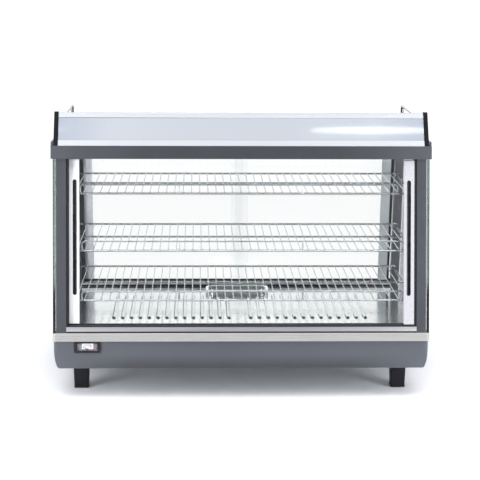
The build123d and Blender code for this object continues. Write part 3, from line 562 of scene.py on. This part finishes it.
def stadium(half_len, half_w, seg=12):
    """Loop of (along, across) points of a long round-ended slot."""
    pts = []
    for k in range(seg + 1):
        a = -math.pi / 2 + math.pi * k / seg
        pts.append((half_len - half_w + half_w * math.cos(a), half_w * math.sin(a)))
    for k in range(seg + 1):
        a = math.pi / 2 + math.pi * k / seg
        pts.append((-(half_len - half_w) + half_w * math.cos(a), half_w * math.sin(a)))
    return pts


# ------------------------------------------------------------------ black liners in the finger pulls
PULL_X = {("front", "left"): (0.3898, 0.3995), ("front", "right"): (0.3915, 0.4015), ("rear", "left"): (0.3875, 0.3972), ("rear", "right"): (0.3880, 0.3977)}
PULL_Z = (0.2502, 0.5210)
for fr, rear in (("front", False), ("rear", True)):
    for side, sx in (("left", -1), ("right", 1)):
        n0 = -0.002 if (side == "right") != rear else -0.016
        zc = sum(PULL_Z) / 2
        px0, px1 = PULL_X[fr, side]
        xc = sx * (px0 + px1) / 2
        org = Vector((xc, yl(zc, n0, rear), zc))
        nrm = Vector((0, COS if rear else -COS, SIN))
        along = Vector((0, -SIN if rear else SIN, COS))
        half_len, half_w = (PULL_Z[1] - PULL_Z[0]) / COS / 2 - 0.00012, (px1 - px0) / 2 - 0.00012

        def loop(inset, depth):
            return [org + along * a + Vector((1, 0, 0)) * b - nrm * depth for a, b in stadium(half_len - inset, half_w - inset)]

        g = Build()
        g.rings([loop(0.0, 0.0069), loop(0.0, 0.0002), loop(0.0002, 0.0), loop(0.0008, 0.0002), loop(0.0010, 0.0060), loop(0.0017, 0.0065)])
        g.make(f"{fr}_{side}_pull_liner", [MATS["black_gloss"]], f"{fr}_{side}_door")

# ------------------------------------------------------------------ thermometer face
TX, TZ = -0.365, 0.1252
yd = 0.0016 - YC
g = Build()
g.block((-0.3778, yd - 0.0005, 0.1258), (-0.3508, yd + 0.0001, 0.1392), 0, 0.00012)
for k in range(25):
    a = math.radians(150 - 5 * k)
    long_tick = k % 6 == 0
    r0, r1 = (0.0086 if long_tick else 0.0098), 0.0112
    w = 0.00022 if long_tick else 0.00013
    d = Vector((math.cos(a), 0, math.sin(a)))
    s = Vector((math.sin(a), 0, -math.cos(a)))
    c = Vector((TX, 0, TZ))
    q = [c + d * r0 - s * w, c + d * r0 + s * w, c + d * r1 + s * w, c + d * r1 - s * w]
    lo = [Vector((p.x, yd - 0.00062, p.z)) for p in q]
    hi = [Vector((p.x, yd - 0.0004, p.z)) for p in q]
    g.rings([lo, hi], 1)
for a0, a1, idx in ((58, 30, 1),):
    inner, outer = 0.0114, 0.0128
    n = 8
    for k in range(n):
        t0, t1 = math.radians(a0 + (a1 - a0) * k / n), math.radians(a0 + (a1 - a0) * (k + 1) / n)
        q = [(TX + math.cos(t) * r, TZ + math.sin(t) * r) for t, r in ((t0, inner), (t1, inner), (t1, outer), (t0, outer))]
        g.rings([[Vector((x, yd - 0.00062, z)) for x, z in q], [Vector((x, yd - 0.0004, z)) for x, z in q]], idx)
g.block((-0.3492, yd - 0.0005, 0.1240), (-0.3440, yd + 0.0001, 0.1292), 2, 0.00012)
g.make("thermometer_scale", [MATS["print_white"], MATS["print_black"], MATS["print_red"]], "cabinet", smooth=False)


def text_piece(name, items, mats, body, normal_axis):
    """items are (string, x, z, size). Flat raised figures that face the given way along Y."""
    verts, faces = [], []
    for string, x, y, z, size in items:
        cu = bpy.data.curves.new("figures", "FONT")
        cu.body = string
        cu.size = size
        cu.align_x, cu.align_y = "CENTER", "CENTER"
        cu.extrude = 0.00008
        cu.resolution_u = 2
        tmp = bpy.data.objects.new("figures", cu)
        scene.collection.objects.link(tmp)
        bpy.context.view_layer.update()
        me = bpy.data.meshes.new_from_object(tmp.evaluated_get(bpy.context.evaluated_depsgraph_get()))
        n = len(verts)
        for v in me.vertices:
            if normal_axis < 0:
                verts.append(Vector((x + v.co.x, y - v.co.z, z + v.co.y)))
            else:
                verts.append(Vector((x - v.co.x, y + v.co.z, z + v.co.y)))
        faces += [[n + k for k in p.vertices] for p in me.polygons]
        bpy.data.objects.remove(tmp)
        bpy.data.curves.remove(cu)
        bpy.data.meshes.remove(me)
    return piece(name, verts, faces, None, body, mats=mats)


items = [(t, TX + math.cos(math.radians(a)) * 0.0072, yd - 0.0006, TZ + math.sin(math.radians(a)) * 0.0072, 0.0022)
         for t, a in (("30", 148), ("60", 118), ("90", 62), ("120", 34))]
text_piece("thermometer_figures", items, [MATS["print_black"]], "cabinet", -1)

# small rounded tab on the right edge of the thermometer case
g = Build()
zc = 0.131
tab = [(-0.3345, zc - 0.0060)] + [(-0.3345 + 0.0022 * math.cos(a), zc + 0.0060 * math.sin(a)) for a in (math.radians(-80 + 20 * k) for k in range(9))] + [(-0.3345, zc + 0.0060)]
g.rings([[Vector((x, -0.0029 - YC, z)) for x, z in tab], [Vector((x, -0.0001 - YC, z)) for x, z in tab]])
g.make("thermometer_side_tab", [MATS["black_gloss"]], "cabinet")

# ------------------------------------------------------------------ rear controls: printed scale, pointer, marks on the rockers
YP = 0.562 - YC
KX, KZ = -0.330, 0.108
g = Build()
for k in range(21):
    a = math.radians(-60 + 15 * k)
    big = k % 4 == 0
    r0, r1 = 0.0212, (0.0236 if big else 0.0226)
    w = 0.0003 if big else 0.00018
    d = Vector((math.cos(a), 0, math.sin(a)))
    s = Vector((math.sin(a), 0, -math.cos(a)))
    c = Vector((KX, 0, KZ))
    q = [c + d * r0 - s * w, c + d * r0 + s * w, c + d * r1 + s * w, c + d * r1 - s * w]
    g.rings([[Vector((p.x, YP - 0.0001, p.z)) for p in q], [Vector((p.x, YP + 0.0001, p.z)) for p in q]])
g.make("knob_scale_ticks", [MATS["print_white"]], "cabinet", smooth=False)
items = []
for t, deg in (("0", 240), ("30", 180), ("50", 120), ("70", 60), ("90", 0)):
    a = math.radians(deg)
    items.append((t, KX - math.cos(a) * 0.0262, YP + 0.00004, KZ + math.sin(a) * 0.0262, 0.0046))
text_piece("knob_scale_figures", items, [MATS["print_white"]], "cabinet", 1)

g = Build()
g.block((KX - 0.0008, 0.5799 - YC, KZ + 0.003), (KX + 0.0008, 0.58012 - YC, KZ + 0.0142), 0)
g.make("knob_pointer_line", [MATS["print_white"]], "thermostat_knob", smooth=False)
g = Build()
g.lathe((KX, 0.5799 - YC, KZ), (0, 1, 0), [(0.0092, -0.0003), (0.0092, 0.0001), (0.0088, 0.0002), (0.0005, 0.00022)], 36)
g.make("knob_cap", [MATS["track_aluminium"]], "thermostat_knob")

for nm, x in (("heat", -0.262), ("light", -0.212)):
    yp = 0.557 - YC
    rot = Matrix.Rotation(math.radians(-9), 4, "X")

    def on_rocker(px, py, pz, x=x, yp=yp, rot=rot):
        q = rot @ Vector((0, py, pz))
        return Vector((x + px, yp + q.y, 0.108 + q.z))

    g = Build()
    n = 20
    for ring_out, ring_in in ((0.0021, 0.0015),):
        outer = [(ring_out * math.cos(2 * math.pi * k / n), -0.0058 + ring_out * math.sin(2 * math.pi * k / n)) for k in range(n)]
        inner = [(ring_in * math.cos(2 * math.pi * k / n), -0.0058 + ring_in * math.sin(2 * math.pi * k / n)) for k in range(n)]

        def face_y(z):
            return 0.0066 + 0.0016 * abs(z) / 0.010

        lo_o = [on_rocker(a, face_y(b) - 0.0002, b) for a, b in outer]
        hi_o = [on_rocker(a, face_y(b) + 0.00012, b) for a, b in outer]
        hi_i = [on_rocker(a, face_y(b) + 0.00012, b) for a, b in inner]
        lo_i = [on_rocker(a, face_y(b) - 0.0002, b) for a, b in inner]
        g.rings([lo_o, hi_o, hi_i, lo_i, [p.copy() for p in lo_o]], 0, cap0=False, cap1=False)
    bar = [(-0.0003, 0.0038), (0.0003, 0.0038), (0.0003, 0.0078), (-0.0003, 0.0078)]
    g.rings([[on_rocker(a, face_y(b) - 0.0002, b) for a, b in bar], [on_rocker(a, face_y(b) + 0.00012, b) for a, b in bar]])
    g.make(f"{nm}_rocker_marks", [MATS["print_white"]], f"{nm}_switch", smooth=False)

# ------------------------------------------------------------------ fasteners
g = Build()
for x in (-0.3645, -0.1855):
    for z in (0.0855, 0.1325):
        g.screw((x, YP, z), (0, 1, 0), 0.0028, 0.0015)
for x in (-0.41, -0.12, 0.18, 0.41):
    for z in (0.083, 0.137):
        g.screw((x, 0.560 - YC, z), (0, 1, 0))
g.make("rear_panel_screws", [MATS["zinc_screws"]], "cabinet")

g = Build()
for sx in (-1, 1):
    for y in (0.172, 0.449):
        for k in range(3):
            a = math.radians(90 + 120 * k)
            g.screw((sx * 0.427 + 0.0078 * math.cos(a), y - YC + 0.0078 * math.sin(a), 0.6052), (0, 0, 1), 0.0019, 0.0010)
g.make("guard_rail_screws", [MATS["zinc_screws"]], "cabinet")

g = Build()
for sx in (-1, 1):
    for y in (0.062, 0.2875, 0.513):
        g.screw((sx * 0.398, y - YC, 0.0735), (0, 0, -1))
for x in (-0.26, 0.0, 0.26):
    for y in (0.053, 0.522):
        g.screw((x, y - YC, 0.0735), (0, 0, -1))
g.make("bottom_cover_screws", [MATS["zinc_screws"]], "cabinet")

g = Build()
for sx in (-1, 1):
    for y, z in ((0.090, 0.620), (0.122, 0.620), (0.112, 0.655)):
        g.screw((sx * 0.4434, y - YC, z), (sx, 0, 0), 0.0026, 0.0014)
g.make("canopy_end_screws", [MATS["zinc_screws"]], "cabinet")

# ------------------------------------------------------------------ seam between the crown of the canopy and its panel, darkened as painted shade under the crown's edge; the painted shade fades to the right
CY0, CZ0, CY1, CZ1 = 0.066, 0.6015, 0.1065, 0.675
CL = math.hypot(CY1 - CY0, CZ1 - CZ0)
CT = ((CY1 - CY0) / CL, (CZ1 - CZ0) / CL)


def cf(z, n):
    """(y, z) of a point of the leaning canopy front, n metres proud of it."""
    k = (z - CZ0) / CT[1]
    return CY0 + k * CT[0] - n * CT[1] - YC, z + n * CT[0]


g = Build()
sec = [cf(0.6641, -0.0006), cf(0.6652, -0.0006), cf(0.6652, 0.0001), cf(0.6641, 0.0001)]
g.rings([[Vector((x, y, z)) for y, z in sec] for x in (-0.4326, 0.4326)])
g.make("canopy_seam_and_shade_line", [MATS["seam_and_shade_grey"]], "cabinet", smooth=False)

# ------------------------------------------------------------------ painted shade and reflection: a dark strip along the left foot of each louvre, hooked round its front end
g = Build()
for k in range(14):
    for sx in (-1, 1):
        x = sx * (0.027 + 0.0217 * k)
        z0, z1 = 0.16590, 0.16625
        # the louvres are alike; the right half's strips are short only because the photo shows no dark line there
        g.block((x - 0.0055, 0.152 - YC, z0), (x - 0.0042, (0.400 if sx < 0 else 0.188) - YC, z1), 0)
        arc = []
        for r in (0.0056, 0.0038):
            ring = [(x + r * math.cos(a), 0.152 - YC + 1.3 * r * math.sin(a)) for a in (math.radians(180 + 15 * j) for j in range(12))]
            arc += ring if r == 0.0056 else ring[::-1]
        g.rings([[Vector((px, py, z0)) for px, py in arc], [Vector((px, py, z1)) for px, py in arc]])
g.make("louvre_painted_shade_strips", [MATS["painted_louvre_shade"]], "cabinet", smooth=False)

# ------------------------------------------------------------------ rolled bead round the water pan
def rounded_rect(cx, cy, hx, hy, r, z, seg=7):
    pts = []
    for qx, qy, a0 in ((1, 1, 0), (-1, 1, 90), (-1, -1, 180), (1, -1, 270)):
        for k in range(seg + 1):
            a = math.radians(a0 + 90 * k / seg)
            pts.append(Vector((cx + qx * (hx - r) + r * math.cos(a), cy + qy * (hy - r) + r * math.sin(a), z)))
    return pts


g = Build()
g.tube(rounded_rect(0.0, 0.448 - YC, 0.0810, 0.0350, 0.023, 0.1774), 0.0016, 12, closed=True)
g.tube(rounded_rect(0.0, 0.448 - YC, 0.0812, 0.0352, 0.023, 0.1698), 0.0011, 10, closed=True)
g.make("water_pan_bead", [MATS["polished_steel"]], "water_pan", weld=True)

# ------------------------------------------------------------------ soft pads under the feet
g = Build()
for sx in (-1, 1):
    for fy in (0.129, 0.431):
        cx, cy = sx * 0.388, fy - YC
        g.rings([rounded_rect(cx, cy, 0.0170, 0.0170, 0.004, 0.0), rounded_rect(cx, cy, 0.0178, 0.0178, 0.0045, 0.0008),
                 rounded_rect(cx, cy, 0.0178, 0.0178, 0.0045, 0.0034), rounded_rect(cx, cy, 0.0168, 0.0168, 0.004, 0.0044)])
g.make("foot_pads", [MATS["black_rubber"]], "cabinet")

# ------------------------------------------------------------------ painted shade: black strips in the recess under each bottom track and along its inner foot
g = Build()
for rear in (False, True):
    x0, x1 = -0.4138, (0.4168 if rear else 0.4153)
    for z0, z1, n0, n1 in ((0.16515, 0.1679, -0.0004, -0.0059), (0.1662, 0.1704, -0.0302, -0.0318)):
        sec = [(yl(z, n, rear), z) for z, n in ((z0, n0), (z1, n0), (z1, n1), (z0, n1))]
        g.rings([[Vector((x, y, z)) for y, z in sec] for x in (x0, x1)])
g.make("track_painted_shade_strips", [MATS["black_rubber"]], "cabinet", smooth=False)

# ------------------------------------------------------------------ stage
me = bpy.data.meshes.new("studio_floor")
bm = bmesh.new()
bmesh.ops.create_circle(bm, cap_ends=True, segments=96, radius=1.7)
bm.to_mesh(me)
bm.free()
floor = bpy.data.objects.new("studio_floor", me)
scene.collection.objects.link(floor)
mat, nt, out = tree("studio_floor")
d = nt.nodes.new("ShaderNodeBsdfDiffuse")
em = nt.nodes.new("ShaderNodeBsdfTransparent")
geo = nt.nodes.new("ShaderNodeNewGeometry")
# one plain pale colour all over, so that the shadow under the object comes from the lights alone
pale = ramp(nt, noise(nt, coords(nt), 1.2, 2.0), [(0.3, (0.86, 0.87, 0.895)), (0.7, (0.89, 0.90, 0.925))])
nt.links.new(pale, d.inputs[0])
# the pale floor fades out into the white surround just past the shadow
away = nt.nodes.new("ShaderNodeVectorMath")
away.operation = "MULTIPLY"
away.inputs[1].default_value = (0.85, 1.15, 0.0)
nt.links.new(geo.outputs["Position"], away.inputs[0])
ln = nt.nodes.new("ShaderNodeVectorMath")
ln.operation = "LENGTH"
nt.links.new(away.outputs[0], ln.inputs[0])
mx = nt.nodes.new("ShaderNodeMixShader")
nt.links.new(spread(nt, ln.outputs["Value"], 0.0, 1.0, 0.50, 0.95), mx.inputs[0])
nt.links.new(d.outputs[0], mx.inputs[1])
nt.links.new(em.outputs[0], mx.inputs[2])
nt.links.new(mx.outputs[0], out.inputs[0])
me.materials.append(mat)
floor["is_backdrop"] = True

world = bpy.data.worlds.new("studio")
scene.world = world
world.use_nodes = True
nt = world.node_tree
nt.nodes.clear()
out = nt.nodes.new("ShaderNodeOutputWorld")
bg = nt.nodes.new("ShaderNodeBackground")
tc = nt.nodes.new("ShaderNodeTexCoord")
sep = nt.nodes.new("ShaderNodeSeparateXYZ")
nt.links.new(tc.outputs["Generated"], sep.inputs[0])
# white surround behind the object, mid grey room in front and at the sides, soft bright ceiling
room = ramp(nt, spread(nt, sep.outputs[2], 0.0, 1.0, -1.0, 1.0), [(0.0, (0.92, 0.93, 0.95)), (0.46, (0.88, 0.89, 0.91)), (0.495, (0.66, 0.67, 0.70)), (0.515, (0.17, 0.18, 0.20)), (0.75, (0.24, 0.25, 0.27)), (1.0, (0.60, 0.61, 0.63))])
behind = spread(nt, sep.outputs[1], 0.0, 1.0, 0.35, 0.88)
nt.links.new(mix(nt, behind, room, (1.0, 1.0, 1.0)), bg.inputs[0])
bg.inputs[1].default_value = 1.09
nt.links.new(bg.outputs[0], out.inputs[0])


def area(name, loc, aim, size, size_y, power, shape="RECTANGLE", color=(1, 1, 1), spread_deg=180):
    d = bpy.data.lights.new(name, "AREA")
    d.shape = shape
    d.size, d.size_y = size, size_y
    d.energy = power
    d.color = color
    d.spread = math.radians(spread_deg)
    o = bpy.data.objects.new(name, d)
    scene.collection.objects.link(o)
    o.location = loc
    o.rotation_euler = (Vector(aim) - Vector(loc)).to_track_quat("-Z", "Y").to_euler()
    return o


area("key_left", (-0.95, -0.76, 0.42), (-0.42, -0.25, 0.40), 0.40, 0.60, 7.5)
area("key_right", (0.95, -0.76, 0.42), (0.42, -0.25, 0.40), 0.40, 0.60, 7.5)
area("top_soft", (0.0, -1.75, 4.4), (0, 0.0, 0.2), 4.2, 2.7, 190.0)
area("rear_fill", (0.0, 2.6, 1.6), (0, 0, 0.35), 2.2, 1.2, 18.0)

# a slim lens-shaped strip light, placed where the leaning canopy panel mirrors it into view
PANEL_P = Vector((0.0, 0.066 + 0.0206 - YC, 0.640))
PANEL_T = Vector((0.0, 0.0405, 0.0735)).normalized()
PANEL_N = Vector((0.0, -PANEL_T.z, PANEL_T.y))


def mirrored(u, v, dist):
    d = pixel_ray(u, v)
    t = (PANEL_P - CAM).dot(PANEL_N) / d.dot(PANEL_N)
    hit = CAM + d * t
    return hit, hit + (d - PANEL_N * (2 * d.dot(PANEL_N))) * dist


def strip_light(name, u0, u1, v0, v1, dist, radiance):
    hit, c = mirrored((u0 + u1) / 2, (v0 + v1) / 2, dist)
    a, b = mirrored(u0, (v0 + v1) / 2, dist)[1], mirrored(u1, (v0 + v1) / 2, dist)[1]
    t, w = mirrored((u0 + u1) / 2, v0, dist)[1], mirrored((u0 + u1) / 2, v1, dist)[1]
    sx, sy = (b - a).length, (t - w).length
    d = bpy.data.lights.new(name, "AREA")
    d.shape = "ELLIPSE"
    d.size, d.size_y = sx, sy
    d.energy = radiance * math.pi * (math.pi * sx * sy / 4)
    o = bpy.data.objects.new(name, d)
    scene.collection.objects.link(o)
    z = (c - hit).normalized()
    x = (b - a).normalized()
    y = z.cross(x).normalized()
    x = y.cross(z)
    mm = Matrix((x, y, z)).transposed().to_4x4()
    mm.translation = c
    o.matrix_world = mm


strip_light("canopy_strip_right", 310, 440, 126.8, 133.4, 2.2, 10.0)
strip_light("canopy_strip_left", 40, 67, 127.6, 130.4, 2.2, 5.0)

scene.view_settings.view_transform = "Standard"
scene.view_settings.look = "None"
scene.view_settings.exposure = 0.0
scene.cycles.max_bounces = 24
scene.cycles.transmission_bounces = 20
scene.cycles.transparent_max_bounces = 24
scene.cycles.glossy_bounces = 10
scene.cycles.sample_clamp_indirect = 8.0
scene.cycles.caustics_refractive = True

lo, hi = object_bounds()
